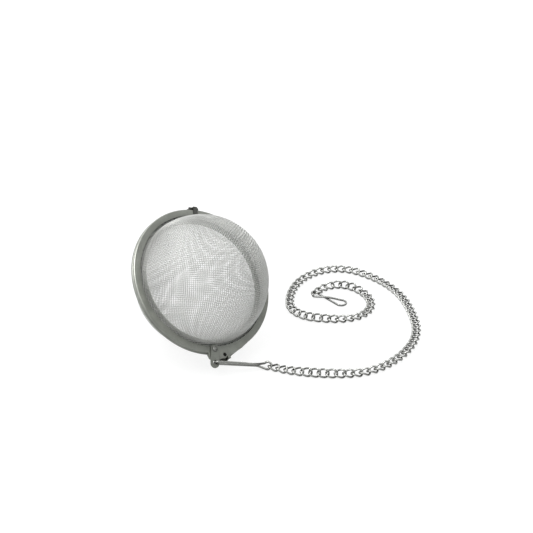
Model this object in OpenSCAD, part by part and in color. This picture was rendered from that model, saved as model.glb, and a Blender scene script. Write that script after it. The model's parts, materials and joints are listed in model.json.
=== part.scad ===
// Mesh-ball tea infuser: two woven cups in folded rings, a side hinge, a swing latch,
// a wire connector, a link chain laid out in a spiral, and a cup hook at its end.
// The origin is the point on the table straight below the ball's centre. +Z is up.
// The ball's own axes: +x to the latch, -x to the hinge, +z out through the front cup.

/* [Ball] */
// Outside diameter of the two rings
ring_od = 55; // [50:1:60]
// Outside radius of the woven cups
mesh_r = 24.2; // [21.4:0.1:24.4]
// Thickness of the solid that stands for the woven wire
mesh_t = 0.3; // [0.2:0.05:0.4]
// Radius of the opening inside the rings
lip_r = 22.4; // [20:0.1:23]
// Radius at which the folded top of a ring ends
hem_r = 25.0; // [24.7:0.1:25.5]
// Thickness of the ring sheet
sheet = 0.4; // [0.3:0.05:0.45]
// Height of one ring from the parting plane
ring_h = 1.25; // [1.15:0.05:1.6]

/* [Ball pose] */
// Tilt of the parting plane from level
ball_tilt = 46; // [20:1:60]
// Compass direction that the front cup faces
ball_turn = -44; // [-90:1:0]
// Turn of the latch about the ball's own axis
latch_roll = -28; // [-45:1:0]

/* [Hinge] */
// Distance of the pin outside the rings
pin_out = 0.7; // [0.7:0.05:1]
// Radius of the hinge pin
pin_r = 0.3; // [0.2:0.05:0.3]
// Radius of the knuckles
knuckle_r = 0.65; // [0.6:0.01:0.65]
// Width of the front knuckle
front_knuckle_w = 1.6; // [1.4:0.1:2.4]
// Width of each rear knuckle
rear_knuckle_w = 0.9; // [0.7:0.05:1.2]
// Distance of the hinge's middle along its pin from the ball's own axis
hinge_shift = -0.6; // [-1:0.1:1]

/* [Latch] */
// Width of the swing plate
plate_w = 3.2; // [2.6:0.1:3.4]
// Thickness of the swing plate
plate_t = 0.6; // [0.4:0.05:0.65]
// Distance from the rivet to the wire hole
plate_reach = 5.0; // [4.9:0.1:5.2]
// Length of plate past the wire hole
plate_tip = 2.0; // [1.9:0.1:2.1]
// Angle at which the plate hangs from the ball's latch axis
plate_hang = -5.8; // [-12:0.1:0]
// Radius of the wire hole
wire_hole_r = 0.8; // [0.7:0.05:0.9]

/* [Connector] */
// Diameter of the connector wire
connector_d = 0.8; // [0.6:0.05:0.9]
// Radius of the bend through the plate
connector_bend_r = 1.2; // [1.15:0.05:1.3]
// Radius of the eye that holds the chain
connector_eye_r = 1.5; // [1.45:0.05:1.6]

/* [Chain] */
// Diameter of the link wire
link_d = 0.7; // [0.5:0.05:0.7]
// Distance from one link to the next
link_pitch = 3.0; // [2.9:0.05:3.05]
// Radius of a link's round ends
link_r = 1.4; // [1.35:0.05:1.45]
// Half the straight length of a link
link_half = 0.6; // [0.55:0.05:0.65]
// Roll of each link, to alternate sides
link_roll = 30; // [30:1:40]
// Links in one chain section
links_per_section = 5; // [3:1:5]
// Compass heading of the chain where it leaves the connector
chain_heading = -24; // [-30:1:-20]
// Turn of each section of the spiral, in degrees
section_turn = [13, 21, 31, 22, 29, 11, 23, 23, 55, 41, 26, 75, 31, 77, 63, 89];

/* [Cup hook] */
// Diameter of the hook wire
hook_d = 0.8; // [0.6:0.05:0.8]
// Compass heading of the hook
hook_heading = -28; // [-35:1:-20]
// Radius of the hook's eye
hook_eye_r = 1.5; // [1.5:0.05:1.8]
// Distance from the hook's eye to where its wires pinch together
hook_neck = 5.5; // [4.5:0.1:6]
// Length of the open loop
hook_loop = 7.6; // [7:0.1:9]
// Radius of the open loop's round end
hook_loop_r = 2.0; // [1.8:0.1:2.3]

/* [Hidden] */

round_fn = 96;
wire_fn = 24;
small_fn = 48;
eps = 0.02;

ring_r = ring_od / 2;
part_gap = 0.05;
ball_r = mesh_r + 0.05;
ball_height = ball_r;
hem_round = 0.25;

pin_x = -(ring_r + pin_out);
pin_fit = 0.05;
leaf_t = 0.3;
leaf_in = 1.8;
leaf_clear = 0.04;
knuckle_gap = 0.05;
rear_leaf_w = front_knuckle_w + 2 * (rear_knuckle_w + knuckle_gap);
pin_len = rear_leaf_w + 0.3;

rivet_at = [26.1, 1.4];
rivet_r = 0.5;
rivet_head_r = 1.0;
rivet_head_h = 0.45;
plate_z = ring_h + 0.05;
ear_hole_at = [27.75, 5.55];
ear_hole_r = 0.7;
ear_in_r = ring_r - 0.25;
keeper_x = [28.6, 29.35];
keeper_y = [6.6, 7.2];
keeper_lip = 0.5;
keeper_t = 0.5;
keeper_z = plate_z + plate_t + 0.1;

weld = 0.04;
chain_z = link_r * sin(link_roll) + link_d / 2 + eps;
section_len = links_per_section * link_pitch;
chain_start = [24.5, -20.3];
// How far a link reaches past the point where it meets its neighbour
link_reach = link_half + link_r - link_pitch / 2;

// Half the distance between two wires where they pinch together
pinch_side = 0.5;
connector_pinch = 3.4;
connector_eye_tilt = asin((chain_z - connector_d / 2 - eps) / connector_eye_r);
hook_z = hook_d / 2 + eps;
hook_eye_tilt = -asin((chain_z - hook_z) / hook_eye_r);

// ---- places ----

function turn_z(p, a) = [p[0] * cos(a) - p[1] * sin(a), p[0] * sin(a) + p[1] * cos(a), p[2]];
function turn_y(p, a) = [p[0] * cos(a) + p[2] * sin(a), p[1], p[2] * cos(a) - p[0] * sin(a)];
// A point of the ball's own axes, in the part's axes
function from_ball(p) = turn_z(turn_y(turn_z(p, latch_roll), ball_tilt), ball_turn)
    + [0, 0, ball_height];
function along(heading, length) = [length * cos(heading), length * sin(heading)];

// Heading of the chain at the start of section i, counted from 0
function heading_at(i) = i == 0 ? chain_heading : heading_at(i - 1) + section_turn[i - 1];
// Straight-line step along an arc of length s that starts at heading h and turns by t
function arc_step(h, t, s) = let (r = s / (t * PI / 180))
    [r * (sin(h + t) - sin(h)), r * (cos(h) - cos(h + t))];
// Place of the chain at the start of section i
function section_at(i) = i == 0 ? chain_start
    : section_at(i - 1) + arc_step(heading_at(i - 1), section_turn[i - 1], section_len);

plate_hole_2d = rivet_at + along(plate_hang, plate_reach);
plate_hole = from_ball([plate_hole_2d[0], plate_hole_2d[1], plate_z + plate_t / 2]);
connector_eye_xy = chain_start - along(chain_heading, connector_eye_r - link_reach);
connector_eye = [connector_eye_xy[0], connector_eye_xy[1], chain_z];
connector_run = connector_eye - plate_hole;
connector_yaw = atan2(connector_run[1], connector_run[0]);
connector_dip = -asin(connector_run[2] / norm(connector_run));
// The connector's own axes: x along it, and y and z square to that before it is rolled
connector_x = connector_run / norm(connector_run);
connector_y = turn_z([0, 1, 0], connector_yaw);
connector_z = cross(connector_x, connector_y);
// The roll turns y onto the plate's face normal, so that the bend runs square through the hole
plate_normal = from_ball([0, 0, 1]) - from_ball([0, 0, 0]);
connector_roll = atan2(plate_normal * connector_z, plate_normal * connector_y);
connector_side = connector_y * cos(connector_roll) + connector_z * sin(connector_roll);

section_count = len(section_turn);
chain_end = section_at(section_count);
end_heading = heading_at(section_count);
hook_eye_xy = chain_end + along(end_heading, hook_eye_r - link_reach);

module in_ball() {
    translate([0, 0, ball_height])
        rotate([0, ball_tilt, ball_turn])
            rotate([0, 0, latch_roll])
                children();
}

module at_hinge() {
    in_ball()
        translate([0, hinge_shift, 0])
            children();
}

// ---- rings and cups, in the ball's own axes ----

// A sheet ring whose outer edge is folded back over the cup's rim
module ring_body() {
    top = ring_h;
    rotate_extrude($fn = round_fn)
        polygon([
            [lip_r, part_gap],
            [ring_r - hem_round, part_gap],
            [ring_r, part_gap + hem_round],
            [ring_r, top - hem_round],
            [ring_r - hem_round, top],
            [hem_r, top],
            [hem_r, top - sheet],
            [ring_r - sheet, top - sheet],
            [ring_r - sheet, part_gap + sheet],
            [lip_r, part_gap + sheet]
        ]);
}

// Half-dome of woven wire with an outward rim that the ring grips
module cup_body() {
    rim_low = part_gap + sheet + eps;
    rim_high = ring_h - sheet - eps;
    difference() {
        sphere(r = mesh_r, $fn = round_fn);
        sphere(r = mesh_r - mesh_t, $fn = round_fn);
        translate([0, 0, rim_low - 2 * mesh_r])
            cube(4 * mesh_r, center = true);
    }
    rotate_extrude($fn = round_fn)
        polygon([
            [mesh_r - mesh_t / 2, rim_low],
            [ring_r - sheet - 0.1, rim_low],
            [ring_r - sheet - 0.1, rim_high],
            [mesh_r - mesh_t / 2, rim_high]
        ]);
}

// Flat tab that widens a ring at the latch, clear of the ring's folded edge
module ear(outline, low, high) {
    difference() {
        translate([0, 0, low])
            linear_extrude(high - low)
                polygon(outline);
        translate([0, 0, low - 1])
            cylinder(r = ear_in_r, h = high - low + 2, $fn = round_fn);
    }
}

module front_ring() {
    outline = [
        [25.8, -1.2], [28.2, -1.0], [29.4, -0.4], [30.0, 0.6], [30.1, 1.8], [29.9, 2.9],
        [29.5, 3.7], [29.25, 4.4], [29.2, 5.7], [28.95, 6.1], [28.4, 6.3], [28.4, 7.35],
        [27.6, 8.3], [26.6, 10.2], [24.8, 13.0], [22.5, 15.8], [20.2, 18.2], [18.6, 18.6],
        [20.0, 8.0]
    ];
    color("darkgray")
        in_ball()
            difference() {
                union() {
                    ring_body();
                    ear(outline, part_gap, ring_h);
                }
                translate([rivet_at[0], rivet_at[1], ring_h - sheet - eps])
                    cylinder(r = rivet_r, h = 1, $fn = small_fn);
                translate([ear_hole_at[0], ear_hole_at[1], 0])
                    cylinder(r = ear_hole_r, h = 2, $fn = small_fn);
            }
}

module rear_ring() {
    outline = [
        [26.0, 2.6], [29.0, 3.2], [29.6, 4.1], [29.8, 5.4], [29.7, 7.1], [29.2, 7.6],
        [28.2, 8.2], [26.6, 10.4], [24.8, 13.0], [22.5, 15.8], [20.2, 18.2], [18.6, 18.6],
        [20.0, 8.0]
    ];
    keeper_w = keeper_x[1] - keeper_x[0];
    color("dimgray")
        in_ball()
            difference() {
                union() {
                    mirror([0, 0, 1])
                        ring_body();
                    ear(outline, -ring_h, -part_gap);
                    translate([keeper_x[0], keeper_y[0], -ring_h])
                        cube([keeper_w, keeper_y[1] - keeper_y[0], ring_h + keeper_z + keeper_t]);
                    translate([keeper_x[0], keeper_y[0] - keeper_lip, keeper_z])
                        cube([keeper_w, keeper_y[1] - keeper_y[0] + keeper_lip, keeper_t]);
                }
                translate([ear_hole_at[0], ear_hole_at[1], -2])
                    cylinder(r = ear_hole_r, h = 2, $fn = small_fn);
            }
}

module front_mesh_cup() {
    color("gainsboro")
        in_ball()
            cup_body();
}

module rear_mesh_cup() {
    color("lightgray")
        in_ball()
            mirror([0, 0, 1])
                cup_body();
}

// ---- hinge, in the ball's own axes ----

// One tube of the hinge, from y0 to y1, with the strap that carries it over the ring's edge
module knuckle(y0, y1, bore_r) {
    strap_x = ring_r + pin_out + knuckle_r - leaf_t;
    top = ring_h + leaf_clear + leaf_t;
    difference() {
        union() {
            translate([pin_x, y0, 0])
                rotate([-90, 0, 0])
                    cylinder(r = knuckle_r, h = y1 - y0, $fn = small_fn);
            translate([-strap_x, y0, 0])
                cube([strap_x - ring_r - 0.1, y1 - y0, top]);
        }
        translate([pin_x, y0 - 1, 0])
            rotate([-90, 0, 0])
                cylinder(r = bore_r, h = y1 - y0 + 2, $fn = small_fn);
    }
}

// The flat of a hinge leaf, lying on a ring's folded top
module leaf_flat(width) {
    outer = ring_r + pin_out + knuckle_r - leaf_t;
    translate([-outer, -width / 2, ring_h + leaf_clear])
        cube([outer - ring_r + leaf_in, width, leaf_t]);
}

module front_hinge_leaf() {
    color("slategray")
        at_hinge()
            union() {
                leaf_flat(front_knuckle_w);
                knuckle(-front_knuckle_w / 2, front_knuckle_w / 2, pin_r + pin_fit);
            }
}

module rear_hinge_leaf() {
    y0 = front_knuckle_w / 2 + knuckle_gap;
    y1 = y0 + rear_knuckle_w;
    color("gray")
        at_hinge()
            mirror([0, 0, 1])
                union() {
                    leaf_flat(rear_leaf_w);
                    knuckle(y0, y1, pin_r + eps);
                    knuckle(-y1, -y0, pin_r + eps);
                }
}

module hinge_pin() {
    color("silver")
        at_hinge()
            translate([pin_x, -pin_len / 2, 0])
                rotate([-90, 0, 0])
                    cylinder(r = pin_r, h = pin_len, $fn = small_fn);
}

// ---- latch, in the ball's own axes ----

module latch_rivet() {
    shank_low = ring_h - sheet + eps;
    head_low = plate_z + plate_t + 0.05;
    color("silver")
        in_ball()
            translate([rivet_at[0], rivet_at[1], 0])
                rotate_extrude($fn = small_fn)
                    polygon([
                        [0, shank_low],
                        [rivet_r - eps, shank_low],
                        [rivet_r - eps, head_low],
                        [rivet_head_r, head_low],
                        [rivet_head_r, head_low + rivet_head_h / 3],
                        [rivet_head_r * 0.8, head_low + rivet_head_h * 0.75],
                        [rivet_head_r * 0.4, head_low + rivet_head_h],
                        [0, head_low + rivet_head_h]
                    ]);
}

module latch_plate() {
    half_w = plate_w / 2;
    head_end = 0.2;
    tip_end = plate_reach + plate_tip - half_w;
    color("darkgray")
        in_ball()
            translate([rivet_at[0], rivet_at[1], plate_z])
                rotate([0, 0, plate_hang])
                    difference() {
                        union() {
                            translate([-head_end, 0, 0])
                                cylinder(r = half_w, h = plate_t, $fn = small_fn);
                            translate([-head_end, -half_w, 0])
                                cube([tip_end + head_end, plate_w, plate_t]);
                            translate([tip_end, 0, 0])
                                cylinder(r = half_w, h = plate_t, $fn = small_fn);
                        }
                        translate([0, 0, -1])
                            cylinder(r = rivet_r + pin_fit, h = 3, $fn = small_fn);
                        translate([plate_reach, 0, -1])
                            cylinder(r = wire_hole_r, h = 3, $fn = small_fn);
                    }
}

// ---- wire parts ----

// Arc of round wire in the XY plane, about the origin, from start through sweep degrees
module wire_arc(radius, wire_d, start, sweep) {
    rotate([0, 0, start])
        rotate_extrude(angle = sweep, $fn = round_fn)
            translate([radius, 0])
                circle(d = wire_d, $fn = wire_fn);
}

// Straight round wire between two points. A weld at an end is a bead a hair wider than the
// wire, which joins it to whatever meets it there.
module wire_line(from, to, wire_d, weld_from = false, weld_to = false) {
    run = to - from;
    bead_d = wire_d + weld;
    translate(from)
        rotate([0, acos(run[2] / norm(run)), atan2(run[1], run[0])]) {
            cylinder(d = wire_d, h = norm(run), $fn = wire_fn);
            if (weld_from)
                sphere(d = bead_d, $fn = wire_fn);
            if (weld_to)
                translate([0, 0, norm(run)])
                    sphere(d = bead_d, $fn = wire_fn);
        }
}

// Round eye at centre, tilted about the link's heading, and drawn in to two wire ends at places.
// toward is the compass direction from the eye to those ends.
module wire_eye(centre, heading, tilt, radius, toward, places, wire_d) {
    plan = toward - heading;
    in_plane = atan2(sin(plan) / cos(tilt), cos(plan));
    open = acos(radius / norm((places[0] + places[1]) / 2 - centre));
    translate(centre)
        rotate([tilt, 0, heading])
            wire_arc(radius, wire_d, in_plane + open, 360 - 2 * open);
    for (k = [0, 1]) {
        a = in_plane + (k == 0 ? -open : open);
        flat = [radius * cos(a), radius * sin(a) * cos(tilt), radius * sin(a) * sin(tilt)];
        wire_line(centre + turn_z(flat, heading), places[k], wire_d, true, true);
    }
}

// Long wire loop: a bend through the plate's hole, two wires that pinch in, and a round eye
// that lies across the first link at the chain's own height
module connector_link() {
    pinch = connector_eye - connector_pinch * connector_x;
    pinches = [for (flip = [-1, 1]) pinch - flip * pinch_side * connector_y];
    color("silver") {
        translate(plate_hole)
            rotate([0, connector_dip, connector_yaw])
                rotate([connector_roll, 0, 0])
                    translate([connector_bend_r, 0, 0])
                        wire_arc(connector_bend_r, connector_d, 90, 180);
        for (k = [0, 1]) {
            side = (k == 0 ? -1 : 1) * connector_side;
            bend_end = plate_hole + connector_bend_r * (connector_x + side);
            wire_line(bend_end, pinches[k], connector_d, true, false);
        }
        wire_eye(connector_eye, chain_heading, connector_eye_tilt, connector_eye_r,
            connector_yaw + 180, pinches, connector_d);
    }
}

// One oval link, long way along x
module link() {
    for (side = [0, 180])
        rotate([0, 0, side])
            translate([link_half, 0, 0])
                wire_arc(link_r, link_d, -90, 180);
    for (y = [-link_r, link_r])
        wire_line([-link_half, y, 0], [link_half, y, 0], link_d);
}

// Section i of the chain, counted from 1: links that alternate their roll along one arc
module chain_section(i) {
    start = section_at(i - 1);
    heading = heading_at(i - 1);
    turn = section_turn[i - 1];
    color(i % 2 == 0 ? "silver" : "lightsteelblue")
        for (k = [0 : links_per_section - 1]) {
            share = (k + 0.5) / links_per_section;
            place = start + arc_step(heading, turn * share, section_len * share);
            number = (i - 1) * links_per_section + k;
            side = number % 2 == 0 ? -1 : 1;
            translate([place[0], place[1], chain_z])
                rotate([side * link_roll, 0, heading + turn * share])
                    link();
        }
}

// Wire hook: an eye across the last link, two wires that pinch in, and a long teardrop loop
module cup_hook() {
    eye = [hook_eye_xy[0], hook_eye_xy[1], chain_z];
    pinch = [hook_eye_xy[0], hook_eye_xy[1], hook_z] + turn_z([hook_neck, 0, 0], hook_heading);
    pinches = [for (flip = [-1, 1]) pinch + turn_z([0, flip * pinch_side, 0], hook_heading)];
    back = hook_loop - hook_loop_r;
    slant = asin(hook_loop_r / norm([back, pinch_side])) - atan2(pinch_side, back);
    loop = pinch + turn_z([back, 0, 0], hook_heading);
    color("silver") {
        wire_eye(eye, end_heading, hook_eye_tilt, hook_eye_r, hook_heading, pinches, hook_d);
        translate(loop)
            rotate([0, 0, hook_heading])
                wire_arc(hook_loop_r, hook_d, -90 - slant, 180 + 2 * slant);
        for (k = [0, 1]) {
            flip = k == 0 ? -1 : 1;
            meet = [-hook_loop_r * sin(slant), flip * hook_loop_r * cos(slant), 0];
            wire_line(pinches[k], loop + turn_z(meet, hook_heading), hook_d, false, true);
        }
    }
}

// ---- nodes ----

rear_ring();
rear_mesh_cup();
rear_hinge_leaf();
hinge_pin();
front_ring();
front_mesh_cup();
front_hinge_leaf();
latch_rivet();
latch_plate();
connector_link();
for (i = [1 : section_count])
    chain_section(i);
cup_hook();
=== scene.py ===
import json
import math
import bpy
import numpy as np
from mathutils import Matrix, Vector


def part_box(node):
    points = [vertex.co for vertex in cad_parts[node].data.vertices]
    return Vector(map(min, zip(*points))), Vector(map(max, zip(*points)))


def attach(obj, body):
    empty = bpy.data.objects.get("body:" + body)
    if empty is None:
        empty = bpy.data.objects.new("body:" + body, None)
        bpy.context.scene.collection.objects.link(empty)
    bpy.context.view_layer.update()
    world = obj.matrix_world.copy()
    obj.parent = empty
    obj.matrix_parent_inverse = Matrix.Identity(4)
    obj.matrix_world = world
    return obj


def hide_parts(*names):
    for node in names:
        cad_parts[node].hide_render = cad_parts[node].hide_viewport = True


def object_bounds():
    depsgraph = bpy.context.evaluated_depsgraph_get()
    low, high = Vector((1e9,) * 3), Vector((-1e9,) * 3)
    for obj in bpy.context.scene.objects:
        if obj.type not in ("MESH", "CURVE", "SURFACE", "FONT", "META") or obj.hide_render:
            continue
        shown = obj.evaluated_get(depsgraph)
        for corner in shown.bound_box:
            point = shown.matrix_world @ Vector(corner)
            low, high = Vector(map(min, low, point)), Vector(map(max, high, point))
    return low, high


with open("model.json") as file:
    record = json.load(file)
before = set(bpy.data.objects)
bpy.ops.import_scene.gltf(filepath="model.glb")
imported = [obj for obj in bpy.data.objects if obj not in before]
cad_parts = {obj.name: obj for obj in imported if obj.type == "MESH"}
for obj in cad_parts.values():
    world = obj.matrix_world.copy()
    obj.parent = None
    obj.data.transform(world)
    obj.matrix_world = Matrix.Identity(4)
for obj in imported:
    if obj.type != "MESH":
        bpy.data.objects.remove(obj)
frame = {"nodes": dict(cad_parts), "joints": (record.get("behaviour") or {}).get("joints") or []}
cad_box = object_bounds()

MM = 0.001

# Woven wire of the cups
WEAVE_PITCH = 0.75
WEAVE_WIRE_D = 0.19
WEAVE_SIDES = 6
RIM_FILLET = 0.55
RIM_HEIGHT = 0.64
RIM_COVERED = 0.6

# Edges of the sheet parts that bend more than this are softened
SHARP_EDGE = math.radians(35)

# Wire parts
WIRE_SIDES = 16
LINK_D = 0.7
LINK_R = 1.4
LINK_HALF = 0.6
LINKS_PER_SECTION = 5
LINK_END_ROLL = math.radians(32)
# Where the chain lies twisted: the link in the middle, how many links each side, and the roll
TWISTS = [(7.0, 3.6, math.radians(48)), (60.5, 3.2, math.radians(46)),
          (76.0, 2.6, math.radians(-40)), (44.0, 5.0, math.radians(-18))]
TABLE_GAP = 0.02
EYE_R = 1.5
LINK_REACH = 0.5
POINTS_PER_BEND = 9
STEPS_PER_SPAN = 6
# Distance between the middles of two crossing wires, in wire diameters
CROSSING = 1.04
CONNECTOR_D = 0.8
CONNECTOR_BEND_R = 1.2
CONNECTOR_PINCH = 3.4
CONNECTOR_SPREAD = 0.9
HOOK_D = 0.8
HOOK_HEADING = math.radians(-28)
HOOK_NECK = 5.5
HOOK_LOOP = 7.6
HOOK_LOOP_R = 2.0
# Keeps the loop's round end a little short of the tangents from the crossing
HOOK_LOOP_EASE = 0.5

# The room's light on everything that isn't a reflection
ROOM_LIGHT = 1.0
# The table's brightness to the camera, the share of it that glows, and its tone in reflections
TABLE_TO_CAMERA = 1.04
FLOOR_GLOW = 0.82
FLOOR_IN_REFLECTIONS = 0.45
TABLE_HALF_M = 3.0
# The room's brightness in reflections by height, and a factor for its two sides
SKY_AT_HORIZON = 0.10
SKY_OVERHEAD = 0.80
SKY_TONES = [(0.22, 0.12), (0.45, 0.30), (0.60, 0.95)]
SIDE_FACTOR_LOW_X = 1.35
SIDE_FACTOR_HIGH_X = 0.55
# Lamps: place and size in metres, and power in watts
KEY_LAMP = ((-0.35, -0.10, 0.75), 0.45, 2.0)
BACK_LAMP = ((0.20, 0.70, 0.55), 0.40, 1.2)

CAMERA_ELEVATION = math.radians(30)
CAMERA_DISTANCE = 420
CAMERA_LENS = 78.6
CAMERA_SENSOR = 36
# From the ball's centre to the point in the middle of the view
CAMERA_AIM = np.array([23.3, 2.6, 4.55])

joint = {j["name"]: j for j in frame["joints"]}


# ---- places, all read from the frame ----

def joint_place(name):
    return np.array(joint[name]["pos_m"]) / MM


def joint_axis(name):
    return np.array(joint[name]["axis"])


def lift_heading(name):
    """Compass heading of the chain at a joint whose axis lies level across it."""
    axis = joint_axis(name)
    return math.atan2(axis[0], -axis[1])


def level(angle):
    return np.array([math.cos(angle), math.sin(angle), 0.0])


def cup_centre():
    low = np.minimum(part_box("front_mesh_cup")[0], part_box("rear_mesh_cup")[0])
    high = np.maximum(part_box("front_mesh_cup")[1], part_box("rear_mesh_cup")[1])
    return (low + high) / 2 / MM


BALL_CENTRE = cup_centre()
BALL_Z = joint_axis("latch_swing")
BALL_Y = -joint_axis("front_open")
BALL_X = np.cross(BALL_Y, BALL_Z)
BALL_AXES = np.array([BALL_X, BALL_Y, BALL_Z])


def from_ball(points):
    """Takes points from the ball's own axes to the frame's."""
    return np.asarray(points, float) @ BALL_AXES + BALL_CENTRE


def node_in_ball(name):
    mesh = frame["nodes"][name].data
    points = np.empty(len(mesh.vertices) * 3, np.float32)
    mesh.vertices.foreach_get("co", points)
    return (points.reshape(-1, 3) / MM - BALL_CENTRE) @ BALL_AXES.T


cup_points = node_in_ball("front_mesh_cup")
DOME_R = np.linalg.norm(cup_points[cup_points[:, 2] > 2], axis=1).max() - WEAVE_WIRE_D


# ---- mesh tools ----

def new_piece(name, points, faces, material, body, replaced):
    """A mesh object from points in millimetres, riding on a body in place of a CAD node."""
    mesh = bpy.data.meshes.new(name)
    mesh.vertices.add(len(points))
    mesh.vertices.foreach_set("co", (np.asarray(points) * MM).astype(np.float32).ravel())
    corners = np.asarray(faces, np.int32)
    sides = corners.shape[1]
    mesh.loops.add(corners.size)
    mesh.loops.foreach_set("vertex_index", corners.ravel())
    mesh.polygons.add(len(corners))
    mesh.polygons.foreach_set("loop_start", np.arange(0, corners.size, sides, dtype=np.int32))
    mesh.polygons.foreach_set("use_smooth", np.ones(len(corners), bool))
    mesh.update(calc_edges=True)
    mesh.validate()
    mesh.materials.append(material)
    piece = bpy.data.objects.new(name, mesh)
    bpy.context.scene.collection.objects.link(piece)
    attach(piece, body)
    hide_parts(replaced)
    return piece


def unit(v):
    return v / np.maximum(np.linalg.norm(v, axis=-1, keepdims=True), 1e-12)


def tube(path, normal, radius, sides, closed):
    """Points and quads of round wire along a path. The normals fix how its rings are turned."""
    if closed:
        tangent = unit(np.roll(path, -1, axis=0) - np.roll(path, 1, axis=0))
    else:
        tangent = unit(np.gradient(path, axis=0))
    normal = unit(normal - (normal * tangent).sum(1)[:, None] * tangent)
    side = np.cross(tangent, normal)
    turn = np.arange(sides) * 2 * math.pi / sides
    ring = (normal[:, None] * np.cos(turn)[None, :, None]
            + side[:, None] * np.sin(turn)[None, :, None])
    points = (path[:, None] + radius * ring).reshape(-1, 3)
    count = len(path)
    here = np.arange(count if closed else count - 1)[:, None]
    there = (here + 1) % count
    k = np.arange(sides)[None, :]
    after = (k + 1) % sides
    faces = np.stack([here * sides + k, there * sides + k,
                      there * sides + after, here * sides + after], -1).reshape(-1, 4)
    return points, faces


def carried_normals(path, closed):
    """Normals carried along a path without twist; on a closed path the last twist is spread."""
    count = len(path)
    if closed:
        tangent = unit(np.roll(path, -1, axis=0) - np.roll(path, 1, axis=0))
    else:
        tangent = unit(np.gradient(path, axis=0))
    normals = np.zeros_like(path)
    start = np.cross(tangent[0], [0.0, 0.0, 1.0])
    normals[0] = unit(start)
    for i in range(1, count):
        kept = normals[i - 1] - normals[i - 1] @ tangent[i] * tangent[i]
        normals[i] = unit(kept)
    if closed:
        last = unit(normals[-1] - normals[-1] @ tangent[0] * tangent[0])
        twist = math.atan2(np.cross(last, normals[0]) @ tangent[0], last @ normals[0])
        for i in range(count):
            angle = twist * i / count
            normals[i] = (normals[i] * math.cos(angle)
                          + np.cross(tangent[i], normals[i]) * math.sin(angle))
    return normals


def joined(parts):
    """Points and faces of several meshes as one."""
    points, faces, offset = [], [], 0
    for p, f in parts:
        points.append(p)
        faces.append(f + offset)
        offset += len(p)
    return np.concatenate(points), np.concatenate(faces)


def smooth_loop(corners, per_span):
    """Closed Catmull-Rom curve through the corners."""
    c = np.asarray(corners, float)
    before, after, beyond = np.roll(c, 1, 0), np.roll(c, -1, 0), np.roll(c, -2, 0)
    t = (np.arange(per_span) / per_span)[None, :, None]
    a, b = c[:, None], after[:, None]
    m0, m1 = (b - before[:, None]) / 2, (beyond[:, None] - a) / 2
    curve = ((2 * t**3 - 3 * t**2 + 1) * a + (t**3 - 2 * t**2 + t) * m0
             + (3 * t**2 - 2 * t**3) * b + (t**3 - t**2) * m1)
    return curve.reshape(-1, 3)


# ---- materials ----

class Nodes:
    """Shorthand for building the nodes of a material or a world."""

    def __init__(self, owner, shader="Principled BSDF"):
        owner.use_nodes = True
        self.tree = owner.node_tree
        self.shader = self.tree.nodes[shader]

    def add(self, kind, **values):
        node = self.tree.nodes.new(kind)
        for key, value in values.items():
            if hasattr(node, key):
                setattr(node, key, value)
            else:
                node.inputs[key.replace("_", " ")].default_value = value
        return node

    def link(self, a, output, b, socket):
        self.tree.links.new(a.outputs[output], b.inputs[socket])

    def ramp(self, source, output, low, high):
        """Stretches a noise, which stays mostly between 0.3 and 0.7, to low to high."""
        node = self.add("ShaderNodeMapRange")
        node.inputs["From Min"].default_value = 0.3
        node.inputs["From Max"].default_value = 0.7
        node.inputs["To Min"].default_value = low
        node.inputs["To Max"].default_value = high
        self.link(source, output, node, "Value")
        return node


def steel(name, colour, rough, mottle=0.12, bump=0.02, grain_size=0.25, painted_crevice_shade=0.0, reach=1.0):
    """Bare steel: metallic, with blotchy tone, uneven polish and fine grain.
    Painted shade: ambient occlusion darkens the colour in crevices and between parts within reach
    millimetres, by up to the given share."""
    material = bpy.data.materials.new(name)
    n = Nodes(material)
    place = n.add("ShaderNodeTexCoord")
    blotch = n.add("ShaderNodeTexNoise", Scale=1 / (4 * MM), Detail=3.0)
    n.link(place, "Object", blotch, "Vector")
    fine = n.add("ShaderNodeTexNoise", Scale=1 / (grain_size * MM), Detail=2.0)
    n.link(place, "Object", fine, "Vector")

    tone = n.ramp(blotch, "Fac", 1 - mottle, 1 + mottle)
    tint = n.add("ShaderNodeVectorMath", operation="SCALE")
    tint.inputs[0].default_value = colour
    # Painted shade: the colour goes darker where ambient occlusion finds other surfaces close by
    if painted_crevice_shade:
        painted_shade_occlusion = n.add("ShaderNodeAmbientOcclusion", samples=8, Distance=reach * MM)
        depth = n.add("ShaderNodeMapRange")
        depth.inputs["To Min"].default_value = 1 - painted_crevice_shade
        n.link(painted_shade_occlusion, "AO", depth, "Value")
        both = n.add("ShaderNodeMath", operation="MULTIPLY")
        n.link(tone, "Result", both, 0)
        n.link(depth, "Result", both, 1)
        n.link(both, "Value", tint, "Scale")
    else:
        n.link(tone, "Result", tint, "Scale")
    n.link(tint, "Vector", n.shader, "Base Color")

    polish = n.ramp(fine, "Fac", rough * 0.8, rough * 1.25)
    n.link(polish, "Result", n.shader, "Roughness")
    height = n.add("ShaderNodeBump", Strength=0.5, Distance=bump * MM)
    n.link(fine, "Fac", height, "Height")
    n.link(height, "Normal", n.shader, "Normal")
    n.shader.inputs["Metallic"].default_value = 1.0
    return material


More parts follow.
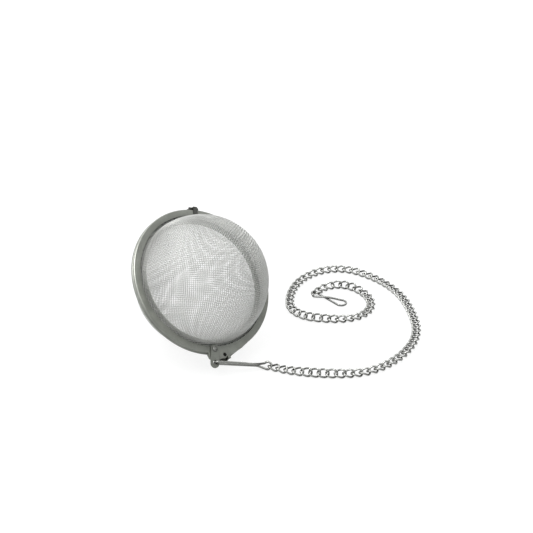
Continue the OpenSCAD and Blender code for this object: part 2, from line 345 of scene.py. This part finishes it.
def turned(material, pitch=0.42, depth=0.012, stretch=0.75):
    """Adds fine circular lines round the ball's axis, and a sheen drawn out along them."""
    n = Nodes(material)
    grain = n.shader.inputs["Normal"].links[0].from_node
    place = n.add("ShaderNodeTexCoord")
    arm = n.add("ShaderNodeVectorMath", operation="SUBTRACT")
    arm.inputs[1].default_value = BALL_CENTRE * MM
    around = n.add("ShaderNodeVectorMath", operation="CROSS_PRODUCT")
    around.inputs[1].default_value = BALL_Z
    out = n.add("ShaderNodeVectorMath", operation="LENGTH")
    turns = n.add("ShaderNodeMath", operation="MULTIPLY")
    turns.inputs[1].default_value = 2 * math.pi / (pitch * MM)
    wave = n.add("ShaderNodeMath", operation="SINE")
    lines = n.add("ShaderNodeBump", Strength=0.6, Distance=depth * MM)
    along = n.add("ShaderNodeVectorTransform", vector_type="VECTOR", convert_from="OBJECT",
                  convert_to="WORLD")
    n.link(place, "Object", arm, 0)
    n.link(arm, "Vector", around, 0)
    n.link(around, "Vector", out, 0)
    n.link(out, "Value", turns, 0)
    n.link(turns, "Value", wave, 0)
    n.link(wave, "Value", lines, "Height")
    n.link(grain, "Normal", lines, "Normal")
    n.link(lines, "Normal", n.shader, "Normal")
    n.link(around, "Vector", along, 0)
    n.link(along, "Vector", n.shader, "Tangent")
    n.shader.inputs["Anisotropic"].default_value = stretch
    return material


# The crevice shares below paint shade into the colours: the seams and inner edge of the rings,
# the weave near the rings, and where links and wires touch
RING_STEEL = turned(steel("ring_steel", (0.46, 0.47, 0.43), 0.34, bump=0.03, painted_crevice_shade=0.96,
                          reach=3.5))
WOVEN_STEEL = steel("woven_steel", (0.98, 0.98, 0.96), 0.45, mottle=0.03, painted_crevice_shade=0.35, reach=2.2)
HINGE_STEEL = steel("hinge_steel", (0.17, 0.17, 0.16), 0.36, bump=0.03, painted_crevice_shade=0.9)
PIN_STEEL = steel("pin_steel", (0.40, 0.40, 0.38), 0.28, painted_crevice_shade=0.9)
PLATE_STEEL = steel("plate_steel", (0.38, 0.39, 0.355), 0.32, bump=0.03, painted_crevice_shade=0.8)
WIRE_STEEL = steel("wire_steel", (0.54, 0.54, 0.52), 0.16, mottle=0.06, painted_crevice_shade=0.95, reach=1.6)
CHAIN_STEEL = steel("chain_steel", (0.62, 0.62, 0.60), 0.16, mottle=0.06, painted_crevice_shade=0.95, reach=1.2)
HOOK_STEEL = steel("hook_steel", (0.40, 0.40, 0.39), 0.20, mottle=0.06, painted_crevice_shade=0.8)


# ---- woven cups ----

def cup_profile(s):
    """The cloth at a distance s along it from the pole: radius, height and the two parts of its
    outward normal. Last comes the distance at which the cloth ends."""
    wall_height = RIM_HEIGHT + RIM_FILLET
    wall_angle = math.acos(wall_height / DOME_R)
    wall_end = DOME_R * wall_angle
    wall_r = DOME_R * math.sin(wall_angle)
    fillet_end = wall_end + RIM_FILLET * math.pi / 2
    a = s / DOME_R
    radius, height = DOME_R * np.sin(a), DOME_R * np.cos(a)
    normal_r, normal_h = np.sin(a), np.cos(a)
    b = np.clip((s - wall_end) / RIM_FILLET, 0, math.pi / 2)
    bent = s > wall_end
    radius = np.where(bent, wall_r + RIM_FILLET * (1 - np.cos(b)), radius)
    height = np.where(bent, wall_height - RIM_FILLET * np.sin(b), height)
    normal_r = np.where(bent, np.cos(b), normal_r)
    normal_h = np.where(bent, np.sin(b), normal_h)
    radius = radius + np.maximum(s - fillet_end, 0)
    return radius, height, normal_r, normal_h, fillet_end + RIM_COVERED


def weave_wire(u, v, over, mirror):
    """One wire of the cloth through the crossings (u, v), lifted or sunk by its wire's radius."""
    s = np.hypot(u, v)
    phi = np.arctan2(v, u)
    radius, height, normal_r, normal_h, _ = cup_profile(s)
    place = np.stack([radius * np.cos(phi), radius * np.sin(phi), height], -1)
    normal = np.stack([normal_r * np.cos(phi), normal_r * np.sin(phi), normal_h], -1)
    path = place + normal * (over * WEAVE_WIRE_D * 0.5)[:, None]
    path[:, 2] *= mirror
    normal[:, 2] *= mirror
    return tube(from_ball(path), normal @ BALL_AXES, WEAVE_WIRE_D / 2, WEAVE_SIDES, False)


def woven_cup(name, mirror, body, node):
    reach = cup_profile(np.zeros(1))[4]
    lines = int(reach / WEAVE_PITCH)
    wires = []
    for i in range(-lines, lines + 1):
        fixed = i * WEAVE_PITCH
        half = math.sqrt(max(reach**2 - fixed**2, 0))
        last = int(half / WEAVE_PITCH)
        if last < 1:
            continue
        j = np.arange(-last, last + 1)
        over = np.where((i + j) % 2 == 0, 1.0, -1.0)
        run = j * WEAVE_PITCH
        still = np.full(len(j), fixed)
        wires.append(weave_wire(still, run, over, mirror))
        wires.append(weave_wire(run, still, -over, mirror))
    points, faces = joined(wires)
    return new_piece(name, points, faces, WOVEN_STEEL, body, node)


woven_cup("front_cup_weave", 1, "front_half", "front_mesh_cup")
woven_cup("rear_cup_weave", -1, "rear_half", "rear_mesh_cup")


# ---- sheet parts: the CAD nodes, with their edges eased ----

def eased(node, material, width):
    """Gives a CAD node a material and edges softened over a width in millimetres."""
    piece = frame["nodes"][node]
    piece.data.materials.clear()
    piece.data.materials.append(material)
    bevel = piece.modifiers.new("eased", "BEVEL")
    bevel.width = width * MM
    bevel.segments = 3
    bevel.limit_method = "ANGLE"
    bevel.angle_limit = SHARP_EDGE
    bevel.harden_normals = True
    return piece


eased("front_ring", RING_STEEL, 0.10)
eased("rear_ring", RING_STEEL, 0.10)
eased("front_hinge_leaf", HINGE_STEEL, 0.06)
eased("rear_hinge_leaf", HINGE_STEEL, 0.06)
eased("hinge_pin", PIN_STEEL, 0.08)
eased("latch_rivet", PIN_STEEL, 0.05)
eased("latch_plate", PLATE_STEEL, 0.10)


# ---- chain ----

def link_outline(per_end=14):
    """Oval of one link in its own plane, x along the chain."""
    end = np.linspace(-math.pi / 2, math.pi / 2, per_end)
    right = np.stack([LINK_HALF + LINK_R * np.cos(end), LINK_R * np.sin(end)], -1)
    middle = np.array([[0.0, LINK_R]])
    return np.concatenate([right, middle, -right, -middle])


def curb_link(place, heading, roll):
    """One link with its two ends rolled opposite ways, so that neighbours lie flat together."""
    flat = link_outline()
    end_x = LINK_HALF + LINK_R
    turn = roll + LINK_END_ROLL * np.sin(math.pi / 2 * flat[:, 0] / end_x)
    local = np.stack([flat[:, 0], flat[:, 1] * np.cos(turn), flat[:, 1] * np.sin(turn)], -1)
    local[:, 2] += max(0, TABLE_GAP + LINK_D / 2 - place[2] - local[:, 2].min())
    up = np.stack([np.zeros(len(flat)), -np.sin(turn), np.cos(turn)], -1)
    axes = np.array([level(heading), level(heading + math.pi / 2), [0.0, 0.0, 1.0]])
    return tube(place + local @ axes, up @ axes, LINK_D / 2, WIRE_SIDES, True)


def arc_point(start, heading, turn, length, share):
    """Point a share of the way along an arc on the table."""
    if abs(turn) < 1e-6:
        return start + level(heading) * length * share
    radius = length / turn
    a = heading + turn * share
    step = np.array([math.sin(a) - math.sin(heading), math.cos(heading) - math.cos(a), 0.0])
    return start + radius * step


def twist_at(number):
    """Roll of the number-th link of the chain, counted from 1 at the connector."""
    return sum(roll * math.exp(-((number - middle) / spread) ** 2)
               for middle, spread, roll in TWISTS)


def chain_joint(i):
    """The i-th joint down the chain, from 1, ending with the hook's."""
    return f"chain_bend_{i}" if f"chain_bend_{i}" in joint else "hook_swing"


def section_length(start, end, turn):
    return np.linalg.norm(end - start) * (turn / 2) / math.sin(turn / 2)


def chain_section(i):
    start, end = joint_place(chain_joint(i)), joint_place(chain_joint(i + 1))
    heading = lift_heading(chain_joint(i))
    turn = (lift_heading(chain_joint(i + 1)) - heading) % (2 * math.pi)
    length = section_length(start, end, turn)
    links = []
    for k in range(LINKS_PER_SECTION):
        share = (k + 0.5) / LINKS_PER_SECTION
        place = arc_point(start, heading, turn, length, share)
        roll = twist_at((i - 1) * LINKS_PER_SECTION + k + 1)
        links.append(curb_link(place, heading + turn * share, roll))
    points, faces = joined(links)
    new_piece(f"chain_links_{i}", points, faces, CHAIN_STEEL, f"chain_{i}",
              f"chain_section_{i}")


section_count = sum(name.startswith("chain_bend_") for name in joint)
for number in range(1, section_count + 1):
    chain_section(number)


# ---- connector and hook ----

def ring_point(centre, heading, tilt, angle):
    """Point on an eye that is tilted about the heading of the link it holds."""
    flat = EYE_R * np.array([math.cos(angle), math.sin(angle) * math.cos(tilt)])
    rise = EYE_R * math.sin(angle) * math.sin(tilt)
    return (centre + flat[0] * level(heading) + flat[1] * level(heading + math.pi / 2)
            + np.array([0, 0, rise]))


def eye_points(centre, heading, tilt, toward, open_angle):
    """Points round an eye, from one side of its opening round to the other."""
    plan = toward - heading
    middle = math.atan2(math.sin(plan) / math.cos(tilt), math.cos(plan))
    angles = np.linspace(middle + open_angle, middle + 2 * math.pi - open_angle,
                         POINTS_PER_BEND)
    return [ring_point(centre, heading, tilt, a) for a in angles]


def connector():
    """Long wire loop from the latch plate's hole to the chain's first link."""
    hole = joint_place("connector_swing")
    side = joint_axis("connector_swing")
    meeting = joint_place("chain_bend_1")
    heading = lift_heading("chain_bend_1")
    eye = meeting - (EYE_R - LINK_REACH) * level(heading)
    run = eye - hole
    length = np.linalg.norm(run)
    ahead = run / length
    toward = math.atan2(-run[1], -run[0])
    tilt = math.asin((meeting[2] - CONNECTOR_D / 2 - TABLE_GAP) / EYE_R)
    across = unit(np.cross([0, 0, 1.0], ahead))
    open_angle = math.acos(EYE_R / CONNECTOR_PINCH)
    bend = [hole + CONNECTOR_BEND_R * (ahead * (1 - math.sin(a)) + side * math.cos(a))
            for a in np.linspace(0, math.pi, POINTS_PER_BEND)]
    pinch = eye - ahead * CONNECTOR_PINCH
    over = np.cross(ahead, across) * CONNECTOR_D * CROSSING / 2
    straight = [0.3, 0.6, 0.85]
    spread = side * CONNECTOR_SPREAD
    first = [bend[-1] * (1 - t) + (pinch - spread) * t for t in straight]
    second = [(pinch + spread) * t + bend[0] * (1 - t) for t in reversed(straight)]
    corners = (bend + first + [pinch - over]
               + eye_points(eye, heading, tilt, toward, open_angle)
               + [pinch + over] + second)
    path = smooth_loop(corners, STEPS_PER_SPAN)
    points, faces = tube(path, carried_normals(path, True), CONNECTOR_D / 2, WIRE_SIDES, True)
    new_piece("connector_wire", points, faces, WIRE_STEEL, "connector",
              "connector_link")


def hook():
    """Wire hook: an eye on the last link, a crossing, and a long teardrop loop."""
    meeting = joint_place("hook_swing")
    heading = lift_heading("hook_swing")
    eye = meeting + (EYE_R - LINK_REACH) * level(heading)
    low = HOOK_D / 2 + TABLE_GAP
    tilt = -math.asin((meeting[2] - low) / EYE_R)
    ahead, across = level(HOOK_HEADING), level(HOOK_HEADING + math.pi / 2)
    flat_eye = np.array([eye[0], eye[1], low])
    pinch = flat_eye + ahead * HOOK_NECK
    open_angle = math.acos(EYE_R / HOOK_NECK)
    back = HOOK_LOOP - HOOK_LOOP_R
    slant = math.asin(HOOK_LOOP_R / math.hypot(back, HOOK_LOOP_EASE))
    sweep = math.pi / 2 + slant
    round_end = [pinch + ahead * (back + HOOK_LOOP_R * math.cos(a))
                 + across * HOOK_LOOP_R * math.sin(a)
                 for a in np.linspace(-sweep, sweep, POINTS_PER_BEND)]
    over = np.array([0, 0, HOOK_D * CROSSING])
    corners = (eye_points(eye, heading, tilt, HOOK_HEADING, open_angle)
               + [pinch + over] + round_end[::-1] + [pinch])
    path = smooth_loop(corners, STEPS_PER_SPAN)
    points, faces = tube(path, carried_normals(path, True), HOOK_D / 2, WIRE_SIDES, True)
    new_piece("hook_wire", points, faces, HOOK_STEEL, "hook", "cup_hook")


connector()
hook()


# ---- studio ----

def seen_by(n, camera, other):
    """A value that differs between camera rays and all other rays."""
    path = n.add("ShaderNodeLightPath")
    mix = n.add("ShaderNodeMix", data_type="FLOAT")
    mix.inputs["A"].default_value = other
    mix.inputs["B"].default_value = camera
    n.link(path, "Is Camera Ray", mix, "Factor")
    return mix


def table_top():
    """Pale table. The camera sees it glow, which keeps shadows faint. Reflections see it darker,
    so that bare steel keeps its tone."""
    half = TABLE_HALF_M
    mesh = bpy.data.meshes.new("table_top")
    mesh.from_pydata([(-half, -half, 0), (half, -half, 0), (half, half, 0), (-half, half, 0)],
                     [], [(0, 1, 2, 3)])
    floor = bpy.data.objects.new("table_top", mesh)
    bpy.context.scene.collection.objects.link(floor)
    white = bpy.data.materials.new("table_white")
    n = Nodes(white)
    shade = seen_by(n, TABLE_TO_CAMERA - FLOOR_GLOW, FLOOR_IN_REFLECTIONS)
    n.link(shade, "Result", n.shader, "Base Color")
    glow = seen_by(n, FLOOR_GLOW, 0.0)
    n.link(glow, "Result", n.shader, "Emission Strength")
    n.shader.inputs["Emission Color"].default_value = (1, 1, 1, 1)
    n.shader.inputs["Roughness"].default_value = 1.0
    n.shader.inputs["Specular IOR Level"].default_value = 0.0
    mesh.materials.append(white)


def soft_light(name, place, size, watts):
    """Round lamp turned towards the middle of the object."""
    target = (cad_box[0] + cad_box[1]) / 2
    lamp = bpy.data.lights.new(name, "AREA")
    lamp.shape = "DISK"
    lamp.size = size
    lamp.energy = watts
    light = bpy.data.objects.new(name, lamp)
    light.location = place
    aim = Vector(target) - Vector(place)
    light.rotation_euler = aim.to_track_quat("-Z", "Y").to_euler()
    bpy.context.scene.collection.objects.link(light)


def surroundings():
    """White room light. In reflections the room is dark near the horizon and bright overhead."""
    world = bpy.data.worlds.new("studio")
    n = Nodes(world, "Background")
    way = n.add("ShaderNodeTexCoord")
    apart = n.add("ShaderNodeSeparateXYZ")
    n.link(way, "Generated", apart, 0)
    height = n.add("ShaderNodeValToRGB")
    ramp = height.color_ramp
    ramp.elements[0].position = 0.0
    ramp.elements[0].color = (SKY_AT_HORIZON, SKY_AT_HORIZON, SKY_AT_HORIZON, 1)
    ramp.elements[1].position = 1.0
    ramp.elements[1].color = (SKY_OVERHEAD, SKY_OVERHEAD, SKY_OVERHEAD, 1)
    for place, tone in SKY_TONES:
        stop = ramp.elements.new(place)
        stop.color = (tone, tone, tone, 1)
    n.link(apart, "Z", height, "Fac")
    side = n.add("ShaderNodeMapRange")
    side.inputs["From Min"].default_value = -1.0
    side.inputs["From Max"].default_value = 1.0
    side.inputs["To Min"].default_value = SIDE_FACTOR_LOW_X
    side.inputs["To Max"].default_value = SIDE_FACTOR_HIGH_X
    n.link(apart, "X", side, "Value")
    sky = n.add("ShaderNodeMath", operation="MULTIPLY")
    n.link(height, "Color", sky, 0)
    n.link(side, "Result", sky, 1)
    path = n.add("ShaderNodeLightPath")
    pick = n.add("ShaderNodeMix", data_type="FLOAT")
    pick.inputs["A"].default_value = ROOM_LIGHT
    n.link(path, "Is Glossy Ray", pick, "Factor")
    n.link(sky, "Value", pick, "B")
    n.shader.inputs["Color"].default_value = (0.98, 1.0, 0.99, 1)
    n.link(pick, "Result", n.shader, "Strength")
    bpy.context.scene.world = world


def studio():
    table_top()
    soft_light("key", *KEY_LAMP)
    soft_light("back", *BACK_LAMP)
    surroundings()
    bpy.context.scene.view_settings.view_transform = "Standard"


def camera():
    """Looks along +Y from above, at a point beside the ball's centre."""
    aim = (BALL_CENTRE + CAMERA_AIM) * MM
    back = np.array([0, -math.cos(CAMERA_ELEVATION), math.sin(CAMERA_ELEVATION)])
    lens = bpy.data.cameras.new("camera")
    lens.lens = CAMERA_LENS
    lens.sensor_width = CAMERA_SENSOR
    lens.clip_start = 0.01
    body = bpy.data.objects.new("camera", lens)
    body.location = aim + back * CAMERA_DISTANCE * MM
    body.rotation_euler = (math.pi / 2 - CAMERA_ELEVATION, 0, 0)
    bpy.context.scene.collection.objects.link(body)
    bpy.context.scene.camera = body


studio()
camera()
